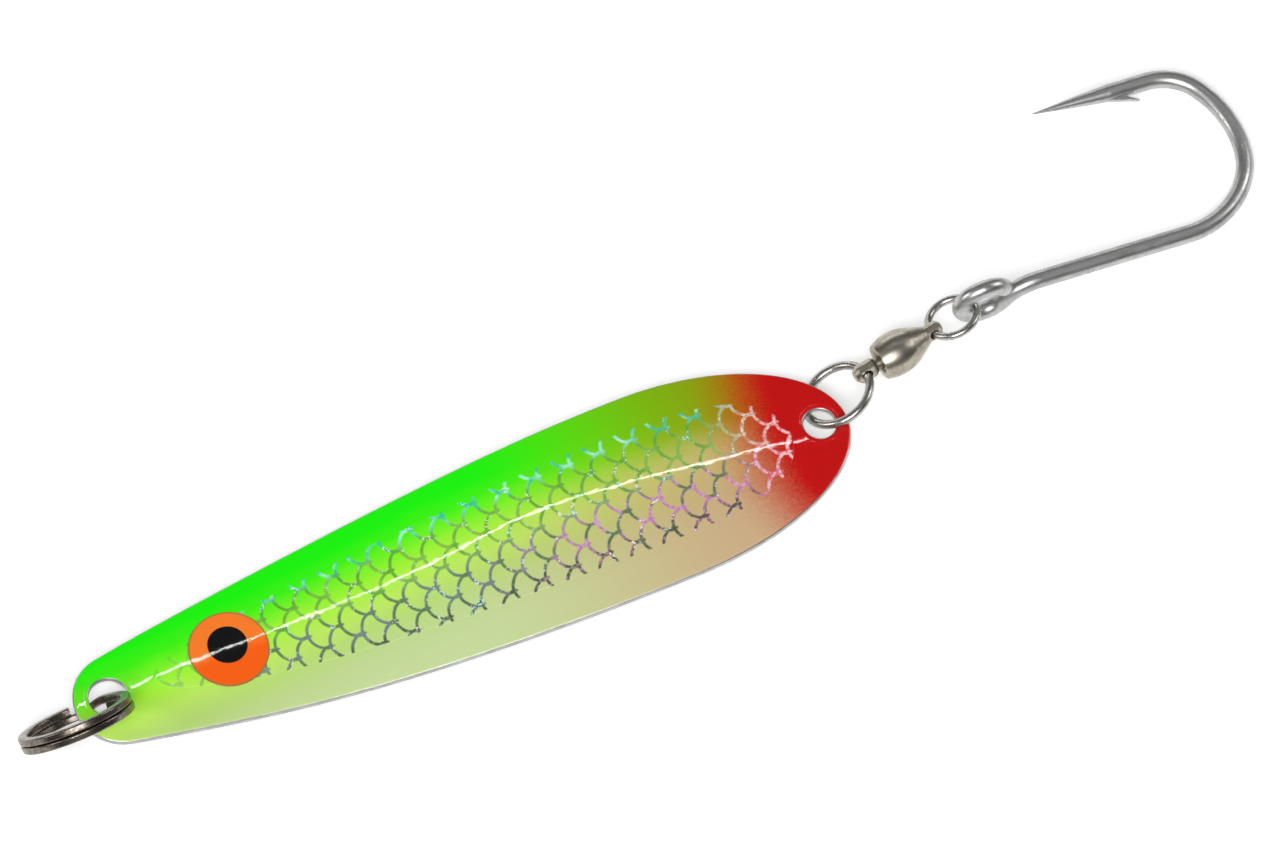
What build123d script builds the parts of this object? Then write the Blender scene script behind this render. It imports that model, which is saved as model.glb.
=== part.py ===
"""Spoon lure: painted S-bent blade, split ring, ball bearing swivel and a single hook.

Millimetres, +Z up. The lure lies on a surface at z = 0, painted face up, nose towards -X.
"""
from build123d import *
import os
from math import asin, cos, degrees, pi, radians, sin, sqrt

os.makedirs("parts", exist_ok=True)

# ---------------------------------------------------------------- driving dimensions
# Blade: a thin stamping, its length measured along X from nose tip to tail tip.
blade_length = 89.0
blade_thickness = 0.75
paint_thickness = 0.10
paint_margin = 0.12           # bare metal left round the paint
crown_radius = 108.0          # the blade is crowned across its width, convex face up
nose_radius = 5.31
flank_radius = 338.45         # long shallow arc from the nose to the widest station
widest_from_nose = 67.15
half_width = 11.1             # at the widest station
sheet_margin = 3.0            # the bent sheet is wider than the blade cut from it
nose_hole_from_tip = 3.9
holes_off_centre = 0.57       # the nose hole stands this far from the outline's centreline
outline_turn = 0.315          # and the line through both holes is this many degrees off it
hole_spacing = 82.0
nose_hole_radius = 2.1
tail_hole_radius = 1.75

# Where the nose hole stands in the assembly's frame (middle of the blade's thickness).
nose_hole = Vector(-63.374, -6.9275, 2.884)

# Height of the blade along its length, as (distance from the nose hole, height).
s_bend = [(-6.0, 0.28), (0.0, 0.0), (20.0, -0.85), (42.0, 0.0), (66.0, 0.95), (82.0, 0.0), (88.0, -0.8)]

# Printed film and eye, laid on the paint.
film_thickness = 0.05
film_start = 5.2              # distances from the nose hole
film_end = 78.6
film_shoulders = [(17.2, 3.6), (47.2, 6.6), (66.6, 5.4)]
film_start_heading = (0.35, 1)
eye_place = (14.0, 0.38)      # from the nose hole, along and across
eye_radius = 4.35
eye_thickness = 0.10
pupil_place = (14.05, 0.86)
pupil_radius = 2.15
pupil_thickness = 0.05

# Split ring at the nose: flat wire, two turns with a step between them.
split_ring_radius = 5.9       # to the middle of the wire
split_wire_width = 1.10
split_wire_thickness = 0.84
split_turn_pitch = 0.87
split_step_angle = 36.0       # the stretch where the wire steps from one turn to the other
split_end_gap = 4.0           # between the wire's ends and the step, in degrees
split_step_at = 62.0          # the step's place round the ring, under the nose

# Welded rings of the swivel.
tail_ring_radius = 3.82
tail_wire_radius = 0.48
hook_ring_radius = 2.74
hook_wire_radius = 0.43

# Swivel, with distances along its axis from the cross hole in the shaft.
shaft_post_radius = 1.05
shaft_post_tip = -1.2
shaft_post_bevel = (0.5, 0.45)          # along the axis, and in radius
shaft_flat_half = 0.80
shaft_eye_radius = 0.62
shaft_flat_end = 1.02
neck_radius = 0.75
barrel_front = 1.90
barrel_wall = 0.70
barrel_belly = 3.80
barrel_shoulder = 5.80
barrel_back = 7.75
barrel_front_radius = 1.98
barrel_belly_radius = 2.42
barrel_shoulder_radius = 2.06
barrel_back_radius = 1.05
barrel_shoulder_slope = (1, -0.52)
mouth_depth = 0.30            # countersink round the shaft, in the barrel's front
cavity_radius = 1.70
cavity_end = 5.20
ball_radius = 0.40
ball_count = 8
ball_circle_radius = 1.22
race_thickness = 0.30
head_thickness = 0.80
end_eye = 8.55                # cross hole of the fixed post
end_post_radius = 0.95
end_post_tip = 9.65
end_post_bevel = 0.4
end_flat_half = 0.70
end_flat_start = -0.76        # from the cross hole
end_eye_radius = 0.56
running_gap = 0.05

# Hook, with distances along the shank from the middle of its eye.
hook_wire = 0.96              # radius
hook_eye_radius = 2.65        # to the middle of the wire
hook_eye_drop = 1.0           # middle of the eye below the shank's line
hook_neck_radius = 4.5
hook_shank = 23.72            # middle of the eye to the start of the bend
# Bend of the hook, from the shank to the point: arcs as (radius, turn in degrees).
hook_bend = [(9.92, 55.7), (7.57, 25.6), (12.09, 41.8), (5.88, 56.9)]
hook_point_length = 13.2
hook_taper_length = 8.8
hook_tip_radius = 0.05
hook_eye_end_angle = 36.0     # where the cut end of the eye stops, above the shank
point_lift = 0.2              # the tip stands this far towards the outside of the wire
hook_shoulder_radius = 0.54   # halfway down the taper
barb_tip_back = 1.5           # from the bend's end to the barb's tip
barb_length = 4.6
barb_root_back = 2.0          # from the barb's tip to where its short side meets the wire
barb_height = 1.9             # from the middle of the wire to the barb's tip
barb_thickness = 0.5

# How the loose pieces lie.
nose_ring_offset = Vector(-4.666, -2.62, 2.96)  # ring centre from the nose hole
nose_ring_normal = Vector(-0.0539, 0.8452, 0.5317)
tail_ring_offset = Vector(3.11, 2.46, 0.03)     # ring centre from the tail hole
tail_ring_normal = Vector(-0.321, 0.363, 0.874)
tail_ring_pivot = Vector(0.473, -0.007, 0.033)  # from the tail hole
tail_ring_swing = Vector(-0.408, 0.496, -0.767)  # turning about this keeps the wire off the hole's wall
swivel_yaw = 10.0
swivel_rise = 1.0
hook_ring_droop = 9.0         # turn of the hook ring about the fixed post's cross hole
hook_yaw = -1.12
hook_droop = 7.47
hook_hang_gap = 1.20          # hook ring's wire to the middle of the hook's eye

# ---------------------------------------------------------------- places and directions


def unit(vector):
    return vector.normalized()


def on_plane(plane, direction):
    """Part of a direction that lies in a plane, as a unit vector."""
    return unit(direction - plane.z_dir * direction.dot(plane.z_dir))


def heading(yaw, rise):
    """Unit vector from an angle about Z and an angle above the horizontal, in degrees."""
    level = cos(radians(rise))
    return Vector(level * cos(radians(yaw)), level * sin(radians(yaw)), sin(radians(rise)))


tail_hole = nose_hole + Vector(hole_spacing, 0, 0)
ground_under_hole = Vector(nose_hole.X, nose_hole.Y, 0)
nose_tip = ground_under_hole - Vector(nose_hole_from_tip, holes_off_centre, 0)
layer_cut_height = 3 * nose_hole.Z                        # taller than the whole blade
face_height = blade_thickness / 2 + paint_thickness / 2   # paint face above the middle surface
metal_top = face_height - paint_thickness
metal_bottom = metal_top - blade_thickness
film_top = face_height + film_thickness
eye_top = film_top + eye_thickness
pupil_top = eye_top + pupil_thickness

nose_ring_plane = Plane(nose_hole + nose_ring_offset, x_dir=(1, 0, 0), z_dir=nose_ring_normal)
tail_ring_plane = Plane(tail_hole + tail_ring_offset, x_dir=(1, 0, 0), z_dir=tail_ring_normal)

swivel_axis = heading(swivel_yaw, swivel_rise)
eye_line = unit(tail_ring_plane.z_dir.cross(swivel_axis))      # runs along both cross holes
ring_to_shaft = unit(eye_line.cross(tail_ring_plane.z_dir))
shaft_eye = tail_ring_plane.origin + ring_to_shaft * tail_ring_radius
end_eye_centre = shaft_eye + swivel_axis * end_eye

droop = radians(hook_ring_droop)
hook_ring_direction = ring_to_shaft * cos(droop) - tail_ring_plane.z_dir * sin(droop)
hook_ring_centre = end_eye_centre + hook_ring_direction * hook_ring_radius
hook_ring_plane = Plane(hook_ring_centre, x_dir=hook_ring_direction,
                        z_dir=hook_ring_direction.cross(eye_line))
hook_hang = hook_ring_centre + hook_ring_direction * hook_ring_radius

shank_direction = heading(hook_yaw, -hook_droop)
gape_direction = unit(Vector(0, 0, 1).cross(shank_direction))
hook_eye_centre = hook_hang + shank_direction * hook_hang_gap
shank_start = hook_eye_centre + shank_direction.cross(gape_direction) * hook_eye_drop
hook_plane = Plane(shank_start, x_dir=shank_direction, z_dir=shank_direction.cross(gape_direction))
hook_eye_plane = Plane(shank_start, x_dir=shank_direction, z_dir=-gape_direction)


def swivel_section():
    """Sketch plane through the swivel's axis: local x along the axis, local y outwards."""
    return Plane(shaft_eye, x_dir=swivel_axis, z_dir=eye_line)


def swivel_disc(distance):
    """Sketch plane across the swivel's axis: local x along the cross holes."""
    return Plane(shaft_eye + swivel_axis * distance, x_dir=eye_line, z_dir=swivel_axis)


# ---------------------------------------------------------------- blade layers


def bent_sheet(bottom, top):
    """Crowned, S-bent sheet between two heights above the middle surface, wider than the blade."""
    reach = half_width + sheet_margin
    crown_drop = crown_radius - sqrt(crown_radius**2 - reach**2)
    with BuildPart() as sheet:
        with BuildLine():
            spine = Spline(*[nose_hole + Vector(along, 0, height) for along, height in s_bend])
        start = Plane(spine @ 0, x_dir=(0, 1, 0), z_dir=spine % 0)
        up = 1 if start.y_dir.Z > 0 else -1
        with BuildSketch(start):
            with BuildLine():
                crest = ThreePointArc((-reach, up * (top - crown_drop)), (0, up * top),
                                      (reach, up * (top - crown_drop)))
                trough = ThreePointArc((-reach, up * (bottom - crown_drop)), (0, up * bottom),
                                       (reach, up * (bottom - crown_drop)))
                Line(crest @ 0, trough @ 0)
                Line(crest @ 1, trough @ 1)
            make_face()
        sweep(path=spine)
    return sheet.part


def blade_outline(inset):
    """Plan of the blade: nose arc, long flank arcs and a half ellipse at the tail."""
    flank_run = widest_from_nose - nose_radius
    meet = asin(flank_run / (flank_radius - nose_radius))     # where the nose and flank arcs meet
    top = half_width - inset
    with BuildSketch(Plane(nose_tip, x_dir=heading(outline_turn, 0))) as plan:
        with BuildLine():
            nose = JernArc((inset, 0), (0, 1), nose_radius - inset, degrees(meet) - 90)
            RadiusArc(nose @ 1, (widest_from_nose, top), flank_radius - inset)
            EllipticalCenterArc((widest_from_nose, 0), blade_length - inset - widest_from_nose, top,
                                start_angle=0, arc_size=90)
            mirror(about=Plane.XZ)
        make_face()
    return plan.sketch


def film_outline():
    """Plan of the scale film: a leaf, blunter towards the tail."""
    with BuildSketch(Plane(ground_under_hole)) as plan:
        with BuildLine():
            Spline((film_start, 0), *film_shoulders, (film_end, 0), tangents=[film_start_heading, (0, -1)])
            mirror(about=Plane.XZ)
        make_face()
    return plan.sketch


def disc_outline(place, radius):
    """Round plan at a place (along, across) from the nose hole."""
    with BuildSketch(Plane(ground_under_hole + Vector(*place, 0))) as plan:
        Circle(radius)
    return plan.sketch


def blade_layer(plan, bottom, top, hole_margin=None):
    """One layer of the blade: a plan cut out of a bent sheet, with both ring holes if it has them."""
    with BuildPart() as layer:
        add(bent_sheet(bottom, top))
        extrude(plan, amount=layer_cut_height, mode=Mode.INTERSECT)
        if hole_margin is not None:
            for place, radius in (((0, 0), nose_hole_radius), ((hole_spacing, 0), tail_hole_radius)):
                hole = disc_outline(place, radius + hole_margin)
                extrude(hole, amount=layer_cut_height, mode=Mode.SUBTRACT)
    return layer


blade_blank = blade_layer(blade_outline(0), metal_bottom, metal_top, 0)
paint_coat = blade_layer(blade_outline(paint_margin), metal_top, face_height, paint_margin)
scale_film = blade_layer(film_outline(), face_height, film_top)
eye_iris = blade_layer(disc_outline(eye_place, eye_radius), film_top, eye_top)
eye_pupil = blade_layer(disc_outline(pupil_place, pupil_radius), eye_top, pupil_top)

# ---------------------------------------------------------------- rings


def split_coil():
    """Two flat turns of wire joined by one step, swept as one coil about Z."""
    half_pitch = split_turn_pitch / 2
    step_half = split_step_angle / 2
    turn = 360 - split_end_gap - split_step_angle
    with BuildLine():
        upper = CenterArc((0, 0, half_pitch), split_ring_radius, step_half + split_end_gap, turn)
        lower = CenterArc((0, 0, -half_pitch), split_ring_radius, step_half, turn)
        step = Spline(upper @ 1, (split_ring_radius, 0, 0), lower @ 0, tangents=[upper % 1, lower % 0])
    with BuildPart() as coil:
        with BuildSketch(Plane(upper @ 0, x_dir=(0, 0, 1), z_dir=upper % 0)):
            RectangleRounded(split_wire_thickness, split_wire_width, split_wire_thickness / 4)
        sweep(path=Wire([upper, step, lower]))
    return coil.part


with BuildPart() as nose_split_ring:
    add(split_coil().moved(nose_ring_plane.location * Location((0, 0, 0), (0, 0, split_step_at))))

with BuildPart(tail_ring_plane) as tail_ring:
    Torus(tail_ring_radius, tail_wire_radius)

with BuildPart(hook_ring_plane) as hook_ring:
    Torus(hook_ring_radius, hook_wire_radius)

# ---------------------------------------------------------------- swivel

spin_axis = Axis(shaft_eye, swivel_axis)
wall_back = barrel_front + barrel_wall
ball_station = wall_back + running_gap + ball_radius
race_front = ball_station + ball_radius + running_gap
head_front = race_front + race_thickness
head_back = head_front + head_thickness
race_radius = cavity_radius - 2 * running_gap
head_front_radius = race_radius - 0.2
head_back_radius = race_radius - 0.5
neck_start_at = barrel_front - 0.5
mouth_back = barrel_front + mouth_depth


def cross_drilled(distance, tip, end, flat_half, eye):
    """Flats on both sides of a post, and the eye bored through them."""
    middle = shaft_eye + swivel_axis * distance
    with BuildSketch(Plane(middle, x_dir=swivel_axis, z_dir=swivel_axis.cross(eye_line))) as flats:
        for side in (-1, 1):
            with Locations(((tip + end) / 2, side * 2 * flat_half)):
                Rectangle(abs(end - tip), 2 * flat_half)
    extrude(flats.sketch, amount=barrel_belly_radius, both=True, mode=Mode.SUBTRACT)
    with BuildSketch(Plane(middle, x_dir=swivel_axis, z_dir=eye_line)) as bore:
        Circle(eye)
    extrude(bore.sketch, amount=barrel_belly_radius, both=True, mode=Mode.SUBTRACT)


with BuildPart() as swivel_shaft:
    with BuildSketch(swivel_section()):
        with BuildLine():
            Polyline((shaft_post_tip, 0), (shaft_post_tip, shaft_post_radius - shaft_post_bevel[1]),
                     (shaft_post_tip + shaft_post_bevel[0], shaft_post_radius),
                     (shaft_flat_end, shaft_post_radius), (neck_start_at, neck_radius),
                     (head_front, neck_radius), (head_front, head_front_radius),
                     (head_back, head_back_radius), (head_back, 0), close=True)
        make_face()
    revolve(axis=spin_axis)
    cross_drilled(0, shaft_post_tip - 1, shaft_flat_end, shaft_flat_half, shaft_eye_radius)

with BuildPart() as thrust_race:
    with BuildSketch(swivel_disc(race_front)):
        Circle(race_radius)
        Circle(neck_radius, mode=Mode.SUBTRACT)
    extrude(amount=race_thickness)

with BuildPart() as swivel_barrel:
    with BuildSketch(swivel_section()):
        with BuildLine():
            shoulder = ThreePointArc((barrel_front, barrel_front_radius), (barrel_belly, barrel_belly_radius),
                                     (barrel_shoulder, barrel_shoulder_radius))
            waist = TangentArc(shoulder @ 1, (barrel_back, barrel_back_radius), tangent=barrel_shoulder_slope)
            Polyline(waist @ 1, (barrel_back, end_post_radius), (cavity_end, end_post_radius),
                     (cavity_end, cavity_radius), (wall_back, cavity_radius),
                     (wall_back, neck_radius + running_gap), (mouth_back, neck_radius + running_gap),
                     (mouth_back, neck_radius + 0.4), (barrel_front, neck_radius + 0.5), shoulder @ 0)
        make_face()
    revolve(axis=spin_axis)

with BuildPart() as swivel_end_post:
    with BuildSketch(swivel_section()):
        with BuildLine():
            Polyline((cavity_end, 0), (cavity_end, end_post_radius),
                     (end_post_tip - end_post_bevel, end_post_radius),
                     (end_post_tip, end_post_radius - end_post_bevel), (end_post_tip, 0), close=True)
        make_face()
    revolve(axis=spin_axis)
    cross_drilled(end_eye, end_post_tip - end_eye + 1, end_flat_start, end_flat_half, end_eye_radius)


def bearing_ball(index):
    """One of the balls that roll between the barrel's front wall and the race."""
    angle = 2 * pi * index / ball_count
    across = eye_line * cos(angle) + swivel_axis.cross(eye_line) * sin(angle)
    with BuildPart(Plane(shaft_eye + swivel_axis * ball_station + across * ball_circle_radius)) as ball:
        Sphere(ball_radius)
    return ball


bearing_balls = [bearing_ball(index) for index in range(ball_count)]

# ---------------------------------------------------------------- hook

neck_reach = hook_neck_radius + hook_eye_radius           # between the middles of the neck's and eye's arcs
neck_fall = hook_neck_radius - hook_eye_drop
neck_start = sqrt(neck_reach**2 - neck_fall**2)
eye_joint_angle = 360 - degrees(asin(neck_fall / neck_reach))    # where the neck meets the eye's circle


with BuildPart() as hook:
    with BuildLine(hook_eye_plane):
        eye_turn = CenterArc((0, -hook_eye_drop), hook_eye_radius, hook_eye_end_angle,
                             eye_joint_angle - hook_eye_end_angle)
        neck = TangentArc(eye_turn @ 1, (neck_start, 0), tangent=eye_turn % 1)
    with BuildLine(hook_plane) as shank_and_bend:
        shank = Line((neck_start, 0), (hook_shank, 0))
        bend = []
        for radius, turn in hook_bend:
            before = bend[-1] if bend else shank
            bend.append(JernArc(before @ 1, before % 1, radius, turn))
        bend_end = bend[-1] @ 1
        point_run = Line(bend_end, bend_end - shank_direction * (hook_point_length - hook_taper_length))
    with BuildSketch(Plane(eye_turn @ 0, z_dir=eye_turn % 0)):
        Circle(hook_wire)
    sweep(path=Wire([eye_turn, neck, shank, *bend, point_run]))
    point_start = point_run @ 1
    tip = point_start - shank_direction * hook_taper_length + gape_direction * point_lift
    for place, radius in ((point_start, hook_wire), (point_start * 0.5 + tip * 0.5, hook_shoulder_radius),
                          (tip, hook_tip_radius)):
        with BuildSketch(Plane(place, z_dir=-shank_direction)):
            Circle(radius)
    loft()
    bend_end_in_plane = hook_plane.to_local_coords(bend_end)
    barb_root_height = bend_end_in_plane.Y - hook_wire / 2
    barb_tip = (bend_end_in_plane.X - barb_tip_back, bend_end_in_plane.Y - barb_height)
    with BuildSketch(hook_plane):
        with BuildLine():
            Polyline(barb_tip, (barb_tip[0] - barb_length, barb_root_height),
                     (barb_tip[0] - barb_root_back, barb_root_height), close=True)
        make_face()
    extrude(amount=barb_thickness / 2, both=True)

# ---------------------------------------------------------------- write the pieces

pieces = {
    "blade_blank": blade_blank,
    "paint_coat": paint_coat,
    "scale_film": scale_film,
    "eye_iris": eye_iris,
    "eye_pupil": eye_pupil,
    "nose_split_ring": nose_split_ring,
    "tail_ring": tail_ring,
    "swivel_shaft": swivel_shaft,
    "thrust_race": thrust_race,
    "swivel_barrel": swivel_barrel,
    "swivel_end_post": swivel_end_post,
    "hook_ring": hook_ring,
    "hook": hook,
}
for index, ball in enumerate(bearing_balls, start=1):
    pieces[f"bearing_ball_{index}"] = ball

for name, piece in pieces.items():
    piece.part.label = name
    export_step(piece.part, f"parts/{name}.step")

# ---------------------------------------------------------------- joint places, for the record


to_hole = on_plane(nose_ring_plane, nose_hole - nose_ring_plane.origin)
nose_crossing = nose_ring_plane.origin + to_hole * split_ring_radius
nose_wire = to_hole.cross(nose_ring_plane.z_dir)

for title, place, direction in (
    ("nose ring", nose_crossing, nose_wire),
    ("tail ring", tail_hole + tail_ring_pivot, tail_ring_swing),
    ("swivel shaft", shaft_eye, eye_line),
    ("barrel and balls", shaft_eye + swivel_axis * ball_station, swivel_axis),
    ("hook ring", end_eye_centre, eye_line),
    ("hook", hook_hang, eye_line),
):
    print(f"{title}: at {tuple(round(v, 4) for v in place)}, along {tuple(round(v, 5) for v in direction)}")

whole = Compound(children=[piece.part for piece in pieces.values()]).bounding_box()
for side, corner in (("low", whole.min), ("high", whole.max)):
    print(f"{side} corner of the whole lure: {tuple(round(v, 3) for v in corner)}")
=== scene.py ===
"""Looks of the spoon lure: painted blade with a scale film and an eye, rings, swivel and hook."""

import math

import bpy
import numpy as np
from mathutils import Matrix, Vector, geometry


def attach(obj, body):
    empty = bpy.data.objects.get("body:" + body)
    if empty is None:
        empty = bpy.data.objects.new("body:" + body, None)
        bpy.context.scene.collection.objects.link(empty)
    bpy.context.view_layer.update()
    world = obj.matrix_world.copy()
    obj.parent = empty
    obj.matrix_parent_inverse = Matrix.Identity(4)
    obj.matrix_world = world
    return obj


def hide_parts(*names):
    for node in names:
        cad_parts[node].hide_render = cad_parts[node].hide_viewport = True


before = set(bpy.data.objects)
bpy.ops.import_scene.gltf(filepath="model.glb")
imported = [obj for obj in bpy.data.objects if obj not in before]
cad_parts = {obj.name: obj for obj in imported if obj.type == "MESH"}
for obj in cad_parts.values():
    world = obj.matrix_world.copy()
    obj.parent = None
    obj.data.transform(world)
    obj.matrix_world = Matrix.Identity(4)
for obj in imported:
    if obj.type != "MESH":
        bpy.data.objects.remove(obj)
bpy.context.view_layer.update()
scene = bpy.context.scene

MM = 0.001

# ---------------------------------------------------------------- dimensions, in millimetres
# Blade: distances along X and across Y from the nose hole. Its outline is a little askew to the holes.
NOSE_HOLE = Vector((-63.374, -6.9275, 2.884))
NOSE_TO_HOLE = 3.9
HOLES_OFF_CENTRE = 0.57
OUTLINE_TURN = math.radians(0.315)
HOLE_SPACING = 82.0
NOSE_HOLE_RADIUS = 2.1
TAIL_HOLE_RADIUS = 1.75
NOSE_RADIUS = 5.31
FLANK_RADIUS = 338.45
WIDEST_FROM_HOLE = 63.25
HALF_WIDTH = 11.1
TAIL_LENGTH = 21.85
CROWN_RADIUS = 108.0
S_BEND = [(-6.0, 0.28), (0.0, 0.0), (20.0, -0.85), (42.0, 0.0), (66.0, 0.95), (82.0, 0.0), (88.0, -0.8)]
# Hand-stamped blades are never quite true: the line along the crest wanders sideways.
CREST_WANDER = [(-6.0, 0.1), (20.0, 0.3), (38.0, 0.5), (53.0, 1.3), (65.0, 0.1), (73.0, -0.5), (88.0, -0.4)]

# Heights of the layers above the blade's middle surface.
METAL_LOW = -0.425
METAL_HIGH = 0.325
PAINT_HIGH = 0.425
FILM_HIGH = 0.475
IRIS_HIGH = 0.575
PUPIL_HIGH = 0.615
SINK = 0.02                   # a layer starts this far inside the one under it

PAINT_MARGIN = 0.12           # bare metal left round the paint
METAL_EDGE = 0.16             # rounding of the bare edges
PAINT_ROLL_OFF = (0.45, 0.08)  # how far in, and how deep, the paint rolls off at its rims
FILM_ROLL_OFF = (0.3, 0.05)
IRIS_EDGE = 0.07
PUPIL_EDGE = 0.03
METAL_MESH = 1.4              # spacing of each sheet's points
PAINT_MESH = 1.0
EYE_MESH = 0.5
EYE_ALONG = 14.0
EYE_ACROSS = 0.38
EYE_RADIUS = 4.35
PUPIL_RADIUS = 2.15
PUPIL_SHIFT = (0.05, 0.48)
EYE_TILT = (-0.004, 0.006)     # rise of the eye per millimetre along and across
FILM_START = 5.2
FILM_END = 78.6
FILM_HALF_WIDTH = 7.1

# ---------------------------------------------------------------- blade surface


def natural_cubic(points):
    """Smooth curve through (place, value) points, as a function of the place."""
    places = np.array([p for p, _ in points])
    values = np.array([v for _, v in points])
    gaps = np.diff(places)
    count = len(points)
    system = np.eye(count)
    target = np.zeros(count)
    for i in range(1, count - 1):
        system[i, i - 1:i + 2] = gaps[i - 1], 2 * (gaps[i - 1] + gaps[i]), gaps[i]
        target[i] = 6 * ((values[i + 1] - values[i]) / gaps[i] - (values[i] - values[i - 1]) / gaps[i - 1])
    bends = np.linalg.solve(system, target)

    def value_at(place):
        i = int(np.clip(np.searchsorted(places, place) - 1, 0, count - 2))
        after, before = place - places[i], places[i + 1] - place
        gap = gaps[i]
        return ((bends[i] * before**3 + bends[i + 1] * after**3) / (6 * gap)
                + (values[i] / gap - bends[i] * gap / 6) * before
                + (values[i + 1] / gap - bends[i + 1] * gap / 6) * after)
    return value_at


crest_height = natural_cubic(S_BEND)
crest_wander = natural_cubic(CREST_WANDER)


def middle_height(along, across):
    """Height of the blade's middle surface above the nose hole's middle."""
    crown = (across**2 - 2 * across * crest_wander(along)) / (2 * CROWN_RADIUS)
    return crest_height(along) - crown


def surface_normal(along, across):
    step = 0.05
    slope_x = (middle_height(along + step, across) - middle_height(along - step, across)) / (2 * step)
    slope_y = (middle_height(along, across + step) - middle_height(along, across - step)) / (2 * step)
    return Vector((-slope_x, -slope_y, 1)).normalized()


def on_blade(along, across, height):
    """A point at a height over the middle surface, in metres in the shared frame."""
    place = NOSE_HOLE + Vector((along, across, middle_height(along, across) + height))
    return place * MM


# ---------------------------------------------------------------- plans: loops of (point, outward normal)


def blade_rim():
    """Blade's outline: nose arc, flank arc and half ellipse, mirrored; counter-clockwise."""
    nose_centre = Vector((NOSE_RADIUS - NOSE_TO_HOLE, 0))
    flank_centre = Vector((WIDEST_FROM_HOLE, HALF_WIDTH - FLANK_RADIUS))
    meet = math.asin((WIDEST_FROM_HOLE - nose_centre.x) / (FLANK_RADIUS - NOSE_RADIUS))
    upper = []
    for i in range(30):
        angle = math.pi - (math.pi / 2 - meet) * i / 30
        normal = Vector((math.cos(angle), math.sin(angle)))
        upper.append((nose_centre + normal * NOSE_RADIUS, normal))
    for i in range(90):
        angle = math.pi / 2 + meet * (1 - i / 90)
        normal = Vector((math.cos(angle), math.sin(angle)))
        upper.append((flank_centre + normal * FLANK_RADIUS, normal))
    for i in range(61):
        angle = math.pi / 2 * (1 - i / 60)
        point = Vector((WIDEST_FROM_HOLE + TAIL_LENGTH * math.cos(angle), HALF_WIDTH * math.sin(angle)))
        normal = Vector((math.cos(angle) / TAIL_LENGTH, math.sin(angle) / HALF_WIDTH)).normalized()
        upper.append((point, normal))
    lower = [(Vector((p.x, -p.y)), Vector((n.x, -n.y))) for p, n in upper[1:-1]]
    tip = Vector((-NOSE_TO_HOLE, 0))
    shifted_tip = Vector((-NOSE_TO_HOLE, -HOLES_OFF_CENTRE))
    turn = Matrix.Rotation(OUTLINE_TURN, 2)
    return [(shifted_tip + turn @ (point - tip), turn @ normal) for point, normal in lower + upper[::-1]]


def disc_rim(along, across, radius, count=96):
    loop = []
    for i in range(count):
        angle = 2 * math.pi * i / count
        normal = Vector((math.cos(angle), math.sin(angle)))
        loop.append((Vector((along, across)) + normal * radius, normal))
    return loop


def film_rim():
    """Leaf outline of the film: it widens slowly from the nose and closes bluntly at the tail."""
    count = 120
    length = FILM_END - FILM_START
    upper = []
    for i in range(count + 1):
        share = (1 - math.cos(math.pi * i / count)) / 2
        width = FILM_HALF_WIDTH * math.sqrt((1 - (1 - share)**2.2) * (1 - share**14))
        upper.append(Vector((FILM_START + length * share, width)))
    points = [Vector((p.x, -p.y)) for p in upper[1:-1]] + upper[::-1]
    loop = []
    for i, point in enumerate(points):
        tangent = points[(i + 1) % len(points)] - points[i - 1]
        loop.append((point, Vector((tangent.y, -tangent.x)).normalized()))
    return loop


def inset_loop(loop, inset):
    return [point - normal * inset for point, normal in loop]


# ---------------------------------------------------------------- sheets cut from the blade's surface


def filled_plan(rim, holes, spacing):
    """Even triangles inside a rim and outside its holes. The rim's points come first, then the holes'."""
    points = []
    edges = []
    for loop in [rim] + holes:
        first = len(points)
        points += loop
        edges += [(first + i, first + (i + 1) % len(loop)) for i in range(len(loop))]
    low_x, high_x = min(p.x for p in rim), max(p.x for p in rim)
    low_y, high_y = min(p.y for p in rim), max(p.y for p in rim)
    loops = [np.array([(p.x, p.y) for p in loop]) for loop in [rim] + holes]

    def inside(loop, x, y):
        x0, y0 = loop[:, 0], loop[:, 1]
        x1, y1 = np.roll(x0, -1), np.roll(y0, -1)
        crosses = (y0 > y) != (y1 > y)
        flat = np.where(y1 == y0, 1e-12, y1 - y0)
        return np.count_nonzero(crosses & (x < (x1 - x0) * (y - y0) / flat + x0)) % 2 == 1

    def clear(x, y):
        near = min(np.hypot(loop[:, 0] - x, loop[:, 1] - y).min() for loop in loops)
        in_hole = any(inside(loop, x, y) for loop in loops[1:])
        return near > 0.45 * spacing and inside(loops[0], x, y) and not in_hole

    for row, y in enumerate(np.arange(low_y, high_y, spacing * 0.87)):
        for x in np.arange(low_x + (row % 2) * spacing / 2, high_x, spacing):
            if clear(x, y):
                points.append(Vector((x, y)))
    made, _, faces, _, _, _ = geometry.delaunay_2d_cdt(points, edges, [], 1, 1e-6)
    keep = []
    for face in faces:
        x = sum(made[v].x for v in face) / len(face)
        y = sum(made[v].y for v in face) / len(face)
        if not any(inside(h, x, y) for h in loops[1:]):
            keep.append(list(face))
    return made, keep


def rounded_edge(low, high, radius, steps=5):
    """Profile of a rim as (inset, height, lean): rounded at the top and at the bottom."""
    profile = []
    for i in range(steps + 1):
        lean = math.pi / 2 * i / steps
        profile.append((radius * (1 - math.sin(lean)), high - radius * (1 - math.cos(lean)), lean))
    for i in range(steps + 1):
        lean = math.pi / 2 * (1 + i / steps)
        profile.append((radius * (1 - math.sin(lean)), low + radius * (1 + math.cos(lean)), lean))
    return profile


def top_edge(low, high, radius, steps=4):
    """Profile of a coat's rim: rounded at the top and straight down into what is under it."""
    profile = rounded_edge(low, high, radius, steps)[:steps + 1]
    return profile + [(0, low, math.pi / 2)]


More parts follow.
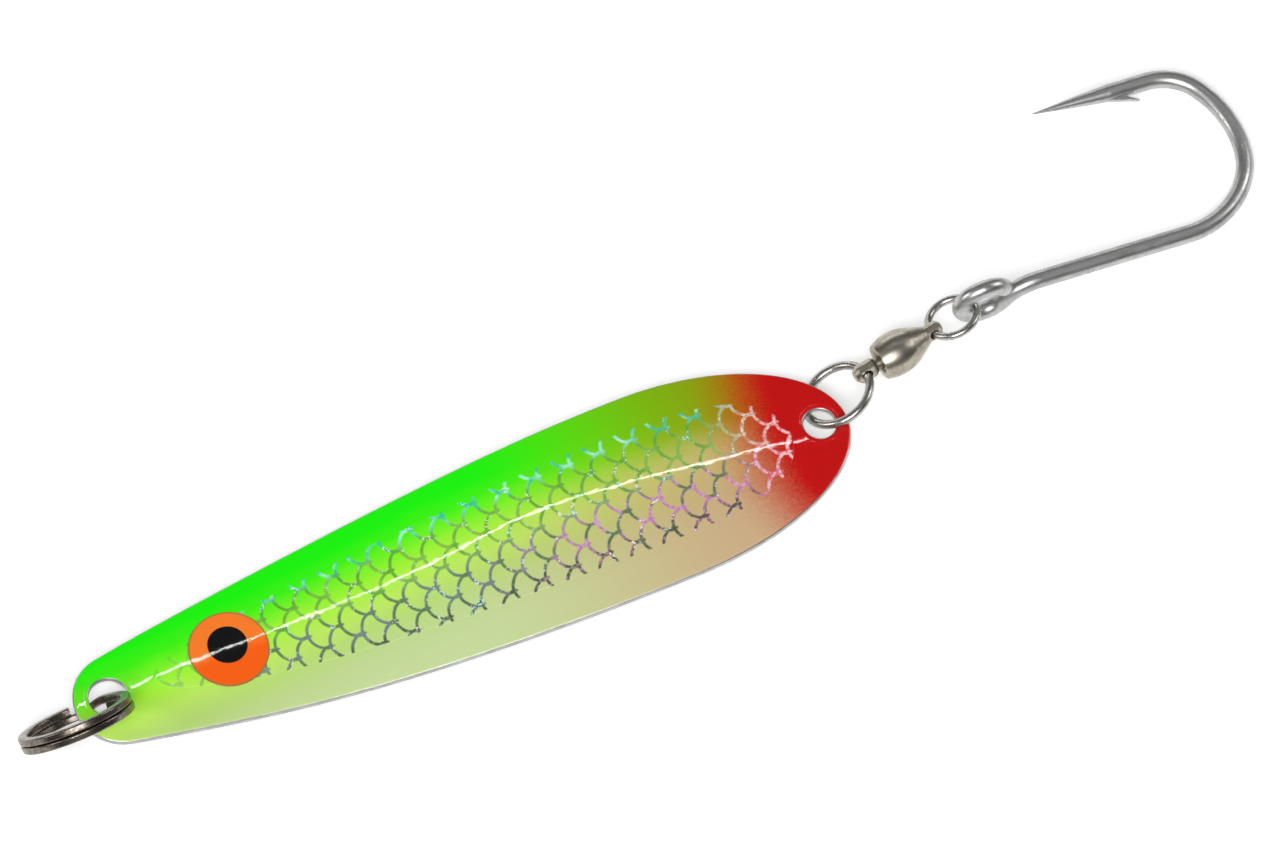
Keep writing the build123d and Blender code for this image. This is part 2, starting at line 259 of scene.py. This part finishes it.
def soft_edge(low, high, reach, drop, steps=6):
    """Profile of a thick coat's rim: it rolls off over a wide reach before its steep side."""
    profile = []
    for i in range(steps + 1):
        turn = 0.9 * math.pi / 2 * i / steps
        lean = math.atan(drop / reach * math.tan(turn))
        profile.append((reach * (1 - math.sin(turn)), high - drop * (1 - math.cos(turn)), lean))
    return profile + [(0, high - drop, math.pi / 2), (0, low, math.pi / 2)]


def sheet_piece(name, rim, holes, margin, profile, spacing, tilt=(0, 0), centre=(0, 0)):
    """Closed sheet that follows the blade: rim and holes share one edge profile."""
    vertices = []
    normals = []
    faces = []

    def place(point, outward, height, lean):
        lift = height + tilt[0] * (point.x - centre[0]) + tilt[1] * (point.y - centre[1])
        up = surface_normal(point.x, point.y)
        vertices.append(on_blade(point.x, point.y, lift))
        side = Vector((outward.x, outward.y, 0))
        normals.append((up * math.cos(lean) + side * math.sin(lean)).normalized())
        return len(vertices) - 1

    def ring(loop, inset, height, lean, sign):
        return [place(p - n * sign * (inset + margin), n * sign, height, lean) for p, n in loop]

    def fill(index, upside_down):
        inset, height, lean = profile[index]
        outer = inset_loop(rim, inset + margin)
        inner = [inset_loop(hole, -inset - margin) for hole in holes]
        made, triangles = filled_plan(outer, inner, spacing)
        fixed = [v for loop in rings for v in loop[index]]
        flat = Vector((0, 0))
        known = list(fixed)
        for point in made[len(fixed):]:
            known.append(place(point, flat, height, lean))
        for triangle in triangles:
            chosen = [known[v] for v in triangle]
            faces.append(chosen[::-1] if upside_down else chosen)

    rings = [[ring(rim, *step, 1) for step in profile]]
    rings += [[ring(hole, *step, -1) for step in profile] for hole in holes]
    for number, loops in enumerate(rings):
        for upper, lower in zip(loops, loops[1:]):
            for i in range(len(upper)):
                j = (i + 1) % len(upper)
                quad = [upper[i], lower[i], lower[j], upper[j]]
                faces.append(quad if number == 0 else quad[::-1])
    fill(0, False)
    fill(len(profile) - 1, True)
    mesh = bpy.data.meshes.new(name)
    mesh.from_pydata(vertices, [], faces)
    mesh.validate()
    mesh.shade_smooth()
    mesh.normals_split_custom_set_from_vertices(normals)
    piece = bpy.data.objects.new(name, mesh)
    scene.collection.objects.link(piece)
    return piece


# ---------------------------------------------------------------- shader helper


def linear(red, green, blue):
    """Linear colour from display values of 0 to 255."""
    def one(value):
        share = value / 255
        return share / 12.92 if share <= 0.04045 else ((share + 0.055) / 1.055)**2.4
    return one(red), one(green), one(blue), 1.0


class Shading:
    """A material's node tree, with short calls for the nodes used here."""

    def __init__(self, name):
        self.material = bpy.data.materials.new(name)
        self.material.use_nodes = True
        self.tree = self.material.node_tree
        self.shader = self.tree.nodes["Principled BSDF"]
        self.here = self.add("ShaderNodeTexCoord").outputs["Object"]

    def add(self, kind, **settings):
        node = self.tree.nodes.new(kind)
        for key, value in settings.items():
            setattr(node, key, value)
        return node

    def give(self, socket, value):
        if isinstance(value, bpy.types.NodeSocket):
            self.tree.links.new(value, socket)
        else:
            socket.default_value = value

    def set(self, name, value):
        self.give(self.shader.inputs[name], value)

    def math(self, operation, *values):
        node = self.add("ShaderNodeMath", operation=operation)
        for socket, value in zip(node.inputs, values):
            self.give(socket, value)
        return node.outputs[0]

    def step(self, value, low, high, start=0.0, end=1.0):
        """Smooth step from start to end as value goes from low to high."""
        node = self.add("ShaderNodeMapRange", interpolation_type="SMOOTHSTEP")
        for socket, given in zip(node.inputs, (value, low, high, start, end)):
            self.give(socket, given)
        return node.outputs["Result"]

    def mix(self, amount, first, second):
        node = self.add("ShaderNodeMix", data_type="RGBA")
        self.give(node.inputs[0], amount)
        self.give(node.inputs[6], first)
        self.give(node.inputs[7], second)
        return node.outputs[2]

    def ramp(self, value, low, high, stops):
        """Colour ramp over a value between low and high; stops are (value, colour)."""
        share = self.math("DIVIDE", self.math("SUBTRACT", value, low), high - low)
        node = self.add("ShaderNodeValToRGB")
        elements = node.color_ramp.elements
        while len(elements) < len(stops):
            elements.new(0.5)
        for element, (place, colour) in zip(elements, stops):
            element.position = (place - low) / (high - low)
            element.color = colour
        self.give(node.inputs[0], share)
        return node.outputs[0]

    def scaled(self, along, across, up):
        node = self.add("ShaderNodeVectorMath", operation="MULTIPLY")
        self.give(node.inputs[0], self.here)
        self.give(node.inputs[1], (along, across, up))
        return node.outputs[0]

    def noise(self, scale, detail=3.0, rough=0.5, vector=None):
        """Noise around 0.5; the scale is in features per metre."""
        node = self.add("ShaderNodeTexNoise")
        self.give(node.inputs["Vector"], vector or self.here)
        self.give(node.inputs["Scale"], scale)
        self.give(node.inputs["Detail"], detail)
        self.give(node.inputs["Roughness"], rough)
        return node.outputs[0]

    def bump(self, height, depth, strength=1.0):
        """Bump whose height runs from 0 to depth metres."""
        node = self.add("ShaderNodeBump")
        self.give(node.inputs["Height"], height)
        self.give(node.inputs["Distance"], depth)
        self.give(node.inputs["Strength"], strength)
        return node.outputs[0]


def dress(piece, material):
    piece.data.materials.clear()
    piece.data.materials.append(material)


# ---------------------------------------------------------------- paint


def blade_places(s):
    """Distance along the blade from the nose hole and across from the centreline, in millimetres."""
    parts = s.add("ShaderNodeSeparateXYZ")
    s.give(parts.inputs[0], s.here)
    along = s.math("SUBTRACT", s.math("MULTIPLY", parts.outputs[0], 1 / MM), NOSE_HOLE.x)
    across = s.math("SUBTRACT", s.math("MULTIPLY", parts.outputs[1], 1 / MM), NOSE_HOLE.y)
    return along, across


PAINT_ROUGHNESS = 0.45


def sprayed_colour(s, along, across):
    """Airbrushed base: green back, chartreuse, pale belly; a rose haze and then red at the tail."""
    narrowing = s.math("MULTIPLY", s.math("MAXIMUM", s.math("SUBTRACT", 40.0, along), 0.0), 0.10)
    cloud = s.math("MULTIPLY", s.math("SUBTRACT", s.noise(260, 4), 0.5), 1.2)
    height = s.math("ADD", s.math("ADD", across, narrowing), cloud)
    base = s.ramp(height, -9.0, 11.0, [
        (-8.0, linear(203, 224, 160)),
        (-5.0, linear(198, 222, 148)),
        (-2.5, linear(190, 226, 122)),
        (0.0, linear(194, 242, 100)),
        (2.2, linear(172, 250, 60)),
        (4.5, linear(118, 250, 34)),
        (6.2, linear(62, 250, 8)),
        (8.2, linear(22, 250, 0)),
    ])
    haze = s.step(along, 36.0, 74.0, 0.0, 0.72)
    hazed = s.mix(haze, base, linear(212, 152, 126))
    back_haze = s.mix(s.step(along, 44.0, 76.0, 0.0, 0.85), base, linear(156, 140, 2))
    on_back = s.step(across, 0.5, 5.0)
    body = s.mix(on_back, hazed, back_haze)
    front = s.math("ADD", 73.4, s.math("MULTIPLY", s.math("POWER", s.math("ABSOLUTE", across), 2.0), 0.018))
    speckle = s.math("MULTIPLY", s.math("SUBTRACT", s.noise(4200, 2), 0.5), 3.4)
    reach = s.math("ADD", s.math("SUBTRACT", along, front), s.math("ADD", speckle, cloud))
    red = s.step(reach, -5.0, 4.5)
    return s.mix(red, body, linear(200, 6, 6)), red


def lacquered(s, colour, roughness):
    """Gloss clear coat over a colour, with the slow waviness of a dipped finish."""
    s.set("Base Color", colour)
    s.set("Roughness", roughness)
    s.set("Specular IOR Level", 0.12)
    s.set("Coat Weight", 0.6)
    s.set("Coat Roughness", 0.02)
    waves = s.bump(s.noise(130, 2, 0.4), 0.00010, 0.22)
    ripple = s.add("ShaderNodeBump")
    s.give(ripple.inputs["Height"], s.noise(1500, 2, 0.5))
    s.give(ripple.inputs["Distance"], 0.000003)
    s.give(ripple.inputs["Strength"], 0.4)
    s.give(ripple.inputs["Normal"], waves)
    s.set("Coat Normal", ripple.outputs[0])


def paint_material():
    s = Shading("paint")
    along, across = blade_places(s)
    colour, _ = sprayed_colour(s, along, across)
    lacquered(s, colour, PAINT_ROUGHNESS)
    return s.material


# ---------------------------------------------------------------- scale film

SCALE_PITCH = 3.68            # between scales of one row
SCALE_ROW = 1.86              # between rows
SCALE_RADIUS = 2.02
SCALE_ORIGIN = (38.9, -3.59)  # a scale's nose, from the nose hole
LINE_HALF = 0.14
KNOT_LENGTH = 0.62
KNOT_HALF = 0.24
FILM_TURN = 0.008             # the film lies a touch askew


def scale_lines(s, along, across):
    """Lines of a fish-scale pattern: arcs bulging to the nose, with a flat knot where they meet."""
    wobble = s.math("MULTIPLY", s.math("SUBTRACT", s.noise(900, 2), 0.5), 0.35)
    turned = s.math("ADD", s.math("ADD", across, s.math("MULTIPLY", along, FILM_TURN)), wobble)
    lines = None
    for number in (0, 1):
        start = s.math("SUBTRACT", along, SCALE_ORIGIN[0] + number * SCALE_PITCH / 2)
        u = s.math("SUBTRACT", s.math("FLOORED_MODULO", s.math("ADD", start, 0.4), SCALE_PITCH), 0.4)
        rise = s.math("SUBTRACT", turned, SCALE_ORIGIN[1] + FILM_TURN * 40 + number * SCALE_ROW)
        wrapped = s.math("FLOORED_MODULO", s.math("ADD", rise, SCALE_ROW), 2 * SCALE_ROW)
        v = s.math("SUBTRACT", wrapped, SCALE_ROW)
        off = s.math("SUBTRACT", u, SCALE_RADIUS)
        span = s.math("SQRT", s.math("ADD", s.math("MULTIPLY", off, off), s.math("MULTIPLY", v, v)))
        gap = s.math("ABSOLUTE", s.math("SUBTRACT", span, SCALE_RADIUS))
        arc = s.step(gap, LINE_HALF * 0.6, LINE_HALF * 1.8, 1.0, 0.0)
        arc = s.math("MULTIPLY", arc, s.step(u, 1.45, 1.65, 1.0, 0.0))
        edge = s.math("SUBTRACT", SCALE_ROW, s.math("ABSOLUTE", v))
        along_knot = s.math("DIVIDE", s.math("SUBTRACT", u, 1.62), KNOT_LENGTH)
        across_knot = s.math("DIVIDE", edge, KNOT_HALF)
        reach = s.math("ADD", s.math("POWER", along_knot, 2.0), s.math("POWER", across_knot, 2.0))
        knot = s.step(reach, 0.5, 1.5, 1.0, 0.0)
        both = s.math("MAXIMUM", arc, knot)
        lines = both if lines is None else s.math("MAXIMUM", lines, both)
    return lines


def film_material():
    s = Shading("scale_film")
    along, across = blade_places(s)
    colour, red = sprayed_colour(s, along, across)
    lines = scale_lines(s, along, across)
    # Line colour, a painted reflection of the foil: slate low down where it would mirror the dark room,
    # green in the middle, cyan along the upper rows where it would mirror the bright room.
    patch = s.noise(420, 2, 0.5)
    fine = s.noise(2600, 2, 0.5)
    low = s.mix(s.step(patch, 0.40, 0.62), linear(84, 116, 92), linear(108, 124, 138))
    middle = s.mix(s.step(patch, 0.40, 0.60), linear(98, 168, 58), linear(134, 188, 84))
    high = s.mix(s.step(patch, 0.42, 0.60), linear(60, 200, 160), linear(170, 252, 214))
    tone = s.mix(s.step(across, -1.5, 1.0), low, middle)
    upper = s.math("SUBTRACT", across, s.step(along, 16.0, 60.0, 0.0, 1.4))
    tone = s.mix(s.step(upper, 3.2, 4.4), tone, high)
    # Painted iridescent reflection: rose and violet towards the tail, pale rose on the red.
    rose = s.math("MULTIPLY", s.step(along, 40.0, 56.0), s.step(across, 0.5, -1.6))
    rose = s.math("MULTIPLY", rose, s.step(patch, 0.42, 0.51))
    tone = s.mix(rose, tone, s.mix(s.step(fine, 0.4, 0.6), linear(196, 116, 168), linear(214, 160, 214)))
    painted_sheen_on_red = s.mix(s.step(fine, 0.45, 0.55), linear(250, 126, 140), linear(255, 214, 214))
    tone = s.mix(s.math("MULTIPLY", red, 0.95), tone, painted_sheen_on_red)
    # Dark ends along the lower boundary, small bright glints elsewhere.
    rim = s.math("MULTIPLY", s.step(across, -3.6, -5.2), s.step(fine, 0.40, 0.52))
    tone = s.mix(s.math("MULTIPLY", rim, s.step(red, 0.6, 0.1)), tone, linear(58, 78, 66))
    sparkle = s.math("MULTIPLY", s.step(s.noise(700, 1), 0.56, 0.64), s.step(s.noise(3600, 1), 0.52, 0.58))
    glint = s.mix(s.step(s.noise(300, 1), 0.45, 0.55), linear(255, 240, 226), linear(196, 250, 255))
    tone = s.mix(s.math("MULTIPLY", sparkle, 0.9), tone, glint)
    # The lines fade out towards the nose.
    strength = s.math("MULTIPLY", s.step(along, 6.0, 20.0, 0.35, 0.92), s.step(fine, 0.25, 0.45, 0.75, 1.0))
    lacquered(s, s.mix(s.math("MULTIPLY", lines, strength), colour, tone), PAINT_ROUGHNESS)
    return s.material


# ---------------------------------------------------------------- eye


def iris_material():
    s = Shading("eye_orange")
    along, across = blade_places(s)
    # Painted reflection: the orange is lighter above the crest line, where the lacquer would mirror the
    # bright room, and deeper below it.
    cloud = s.math("MULTIPLY", s.math("SUBTRACT", s.noise(700, 3), 0.5), 0.8)
    painted_reflection_share = s.step(s.math("ADD", across, cloud), -0.8, 0.9)
    fill = s.mix(painted_reflection_share, linear(255, 98, 10), linear(255, 128, 40))
    off = s.math("SUBTRACT", along, EYE_ALONG)
    rise = s.math("SUBTRACT", across, EYE_ACROSS)
    span = s.math("SQRT", s.math("ADD", s.math("MULTIPLY", off, off), s.math("MULTIPLY", rise, rise)))
    colour = s.mix(s.step(span, EYE_RADIUS - 0.28, EYE_RADIUS - 0.05), fill, linear(168, 116, 62))
    lacquered(s, colour, 0.4)
    return s.material


def pupil_material():
    s = Shading("eye_black")
    colour = s.mix(s.noise(900, 3), linear(2, 2, 4), linear(8, 8, 11))
    lacquered(s, colour, 0.3)
    return s.material


# ---------------------------------------------------------------- metals


def metal(name, pale, dark, roughness, grain=(1, 1, 1), wear=0.35, pits=0.000003):
    """Plated wire or sheet: cloudy tone, drawn or ground marks, small pits."""
    s = Shading(name)
    cloud = s.noise(600, 4, 0.6)
    marks = s.noise(2500, 3, 0.6, vector=s.scaled(*grain))
    tone = s.math("ADD", s.math("MULTIPLY", cloud, wear), s.math("MULTIPLY", marks, 1 - wear))
    s.set("Base Color", s.mix(s.step(tone, 0.35, 0.65), dark, pale))
    s.set("Metallic", 1.0)
    s.set("Roughness", s.step(tone, 0.3, 0.7, roughness * 1.25, roughness * 0.8))
    s.set("Normal", s.bump(s.noise(5000, 3, 0.6, vector=s.scaled(*grain)), pits))
    return s.material


paint = paint_material()
film = film_material()
iris = iris_material()
pupil = pupil_material()
bare_blade = metal("bare_blade", (0.50, 0.50, 0.49, 1), (0.36, 0.36, 0.35, 1), 0.34, (0.15, 1, 1))
black_nickel = metal("black_nickel", (0.24, 0.21, 0.18, 1), (0.12, 0.10, 0.08, 1), 0.26)
ring_steel = metal("ring_steel", (0.54, 0.53, 0.50, 1), (0.36, 0.35, 0.33, 1), 0.28)
swivel_nickel = metal("swivel_nickel", (0.52, 0.48, 0.40, 1), (0.32, 0.29, 0.24, 1), 0.34, wear=0.6)
bearing_steel = metal("bearing_steel", (0.78, 0.78, 0.78, 1), (0.66, 0.66, 0.66, 1), 0.12)
hook_tin = metal("hook_tin", (0.52, 0.52, 0.51, 1), (0.40, 0.40, 0.40, 1), 0.38, wear=0.55, pits=0.0000015)

# ---------------------------------------------------------------- blade pieces

holes = [disc_rim(0, 0, NOSE_HOLE_RADIUS, 72), disc_rim(HOLE_SPACING, 0, TAIL_HOLE_RADIUS, 64)]


def add_piece(piece, material, slot, body, *nodes):
    dress(piece, material)
    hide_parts(*nodes)
    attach(piece, body)
    return piece


rim = blade_rim()
eye = (EYE_ALONG, EYE_ACROSS)
iris_rim = disc_rim(*eye, EYE_RADIUS)
pupil_rim = disc_rim(EYE_ALONG + PUPIL_SHIFT[0], EYE_ACROSS + PUPIL_SHIFT[1], PUPIL_RADIUS)

metal_edge = rounded_edge(METAL_LOW, METAL_HIGH, METAL_EDGE)
paint_edge = soft_edge(METAL_HIGH - SINK, PAINT_HIGH, *PAINT_ROLL_OFF)
film_edge = soft_edge(PAINT_HIGH - SINK, FILM_HIGH, *FILM_ROLL_OFF)
iris_edge = top_edge(PAINT_HIGH - SINK, IRIS_HIGH, IRIS_EDGE)
pupil_edge = top_edge(IRIS_HIGH - SINK, PUPIL_HIGH, PUPIL_EDGE)

add_piece(sheet_piece("blade_metal", rim, holes, 0, metal_edge, METAL_MESH),
          bare_blade, "bare_blade", "blade", "blade_blank")
add_piece(sheet_piece("paint_and_lacquer", rim, holes, PAINT_MARGIN, paint_edge, PAINT_MESH),
          paint, "paint", "blade", "paint_coat")
add_piece(sheet_piece("scale_film_sheet", film_rim(), [], 0, film_edge, PAINT_MESH),
          film, "scale_film", "blade", "scale_film")
add_piece(sheet_piece("eye_iris_disc", iris_rim, [], 0, iris_edge, EYE_MESH, EYE_TILT, eye),
          iris, "eye_orange", "blade", "eye_iris")
add_piece(sheet_piece("eye_pupil_disc", pupil_rim, [], 0, pupil_edge, EYE_MESH, EYE_TILT, eye),
          pupil, "eye_black", "blade", "eye_pupil")

# ---------------------------------------------------------------- CAD pieces that stay

KEPT = {
    "nose_split_ring": black_nickel,
    "tail_ring": ring_steel,
    "hook_ring": ring_steel,
    "swivel_shaft": swivel_nickel,
    "swivel_barrel": swivel_nickel,
    "swivel_end_post": swivel_nickel,
    "thrust_race": bearing_steel,
    "hook": hook_tin,
}
for index in range(1, 9):
    KEPT[f"bearing_ball_{index}"] = bearing_steel
for node, material in KEPT.items():
    dress(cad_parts[node], material)

# ---------------------------------------------------------------- camera, floor and light

VIEW_TURN = math.radians(-22.94)
VIEW_RISE = math.radians(65.0)
VIEW_DISTANCE = 3.0
FRAME_WIDTH = 0.1357
AIM = (56.38, 29.25)          # image centre from the nose hole: along the view's right and up, mm

right = Vector((math.cos(VIEW_TURN), math.sin(VIEW_TURN), 0))
back = Vector((math.sin(VIEW_TURN) * math.cos(VIEW_RISE), -math.cos(VIEW_TURN) * math.cos(VIEW_RISE),
               math.sin(VIEW_RISE)))
up = back.cross(right)
aim = (NOSE_HOLE + right * AIM[0] + up * AIM[1]) * MM

camera_data = bpy.data.cameras.new("camera")
camera_data.sensor_width = 36.0
camera_data.lens = camera_data.sensor_width * VIEW_DISTANCE / FRAME_WIDTH
camera_data.clip_start = 0.01
camera_data.clip_end = 20
camera = bpy.data.objects.new("camera", camera_data)
scene.collection.objects.link(camera)
camera.location = aim + back * VIEW_DISTANCE
camera.rotation_mode = "QUATERNION"
camera.rotation_quaternion = back.to_track_quat("Z", "Y")
scene.camera = camera


def floor_material():
    s = Shading("floor")
    s.set("Base Color", s.mix(s.noise(6, 2), (0.90, 0.90, 0.90, 1), (0.93, 0.93, 0.93, 1)))
    s.set("Roughness", 0.7)
    s.set("Specular IOR Level", 0.1)
    s.set("Emission Color", (1, 1, 1, 1))
    s.set("Emission Strength", 0.35)
    return s.material


def make_floor(size, cells):
    """Flat sheet at z = 0 with a gentle grid."""
    vertices = []
    faces = []
    for row in range(cells + 1):
        for column in range(cells + 1):
            vertices.append((size * (column / cells - 0.5), size * (row / cells - 0.5), 0))
    for row in range(cells):
        for column in range(cells):
            corner = row * (cells + 1) + column
            faces.append((corner, corner + 1, corner + cells + 2, corner + cells + 1))
    mesh = bpy.data.meshes.new("floor")
    mesh.from_pydata(vertices, [], faces)
    floor = bpy.data.objects.new("floor", mesh)
    scene.collection.objects.link(floor)
    dress(floor, floor_material())


def softbox(name, direction, distance, width, height, power, long_axis=Vector((1, 0, 0))):
    """Rectangular light facing the lure, with its width along an axis."""
    data = bpy.data.lights.new(name, "AREA")
    data.shape = "RECTANGLE"
    data.size = width
    data.size_y = height
    data.energy = power
    light = bpy.data.objects.new(name, data)
    scene.collection.objects.link(light)
    towards = direction.normalized()
    centre = towards * distance
    side = (long_axis - towards * long_axis.dot(towards)).normalized()
    upward = towards.cross(side)
    facing = Matrix((side, upward, towards)).transposed().to_4x4()
    facing.translation = centre
    light.matrix_world = facing
    light.visible_camera = False


make_floor(6.0, 12)
mirror_up = Vector((-back.x, -back.y, back.z))    # where a level surface sends the camera's line of sight
softbox("strip", mirror_up, 1.2, 1.3, 0.005, 0.7)
softbox("key", Vector((-0.30, -0.60, 0.95)), 1.6, 1.0, 0.8, 18.5)
softbox("left", Vector((-1.0, 0.20, 0.60)), 1.5, 0.6, 0.6, 5.0, Vector((0, 1, 0)))
softbox("right", Vector((1.0, 0.0, 0.70)), 1.5, 0.6, 0.6, 5.0, Vector((0, 1, 0)))
softbox("rear", Vector((0.1, 1.0, 0.30)), 1.6, 1.4, 0.4, 4.0)


def studio_world():
    """Grey room: dim near the horizon, lighter overhead."""
    world = bpy.data.worlds.new("studio")
    world.use_nodes = True
    tree = world.node_tree
    background = tree.nodes["Background"]
    parts = tree.nodes.new("ShaderNodeSeparateXYZ")
    tree.links.new(tree.nodes.new("ShaderNodeTexCoord").outputs["Generated"], parts.inputs[0])
    ramp = tree.nodes.new("ShaderNodeValToRGB")
    ramp.color_ramp.elements[0].position = 0.05
    ramp.color_ramp.elements[0].color = (0.06, 0.06, 0.06, 1)
    ramp.color_ramp.elements[1].position = 0.95
    ramp.color_ramp.elements[1].color = (0.10, 0.10, 0.10, 1)
    tree.links.new(parts.outputs[2], ramp.inputs[0])
    tree.links.new(ramp.outputs[0], background.inputs[0])
    return world


scene.world = studio_world()
scene.view_settings.view_transform = "Standard"
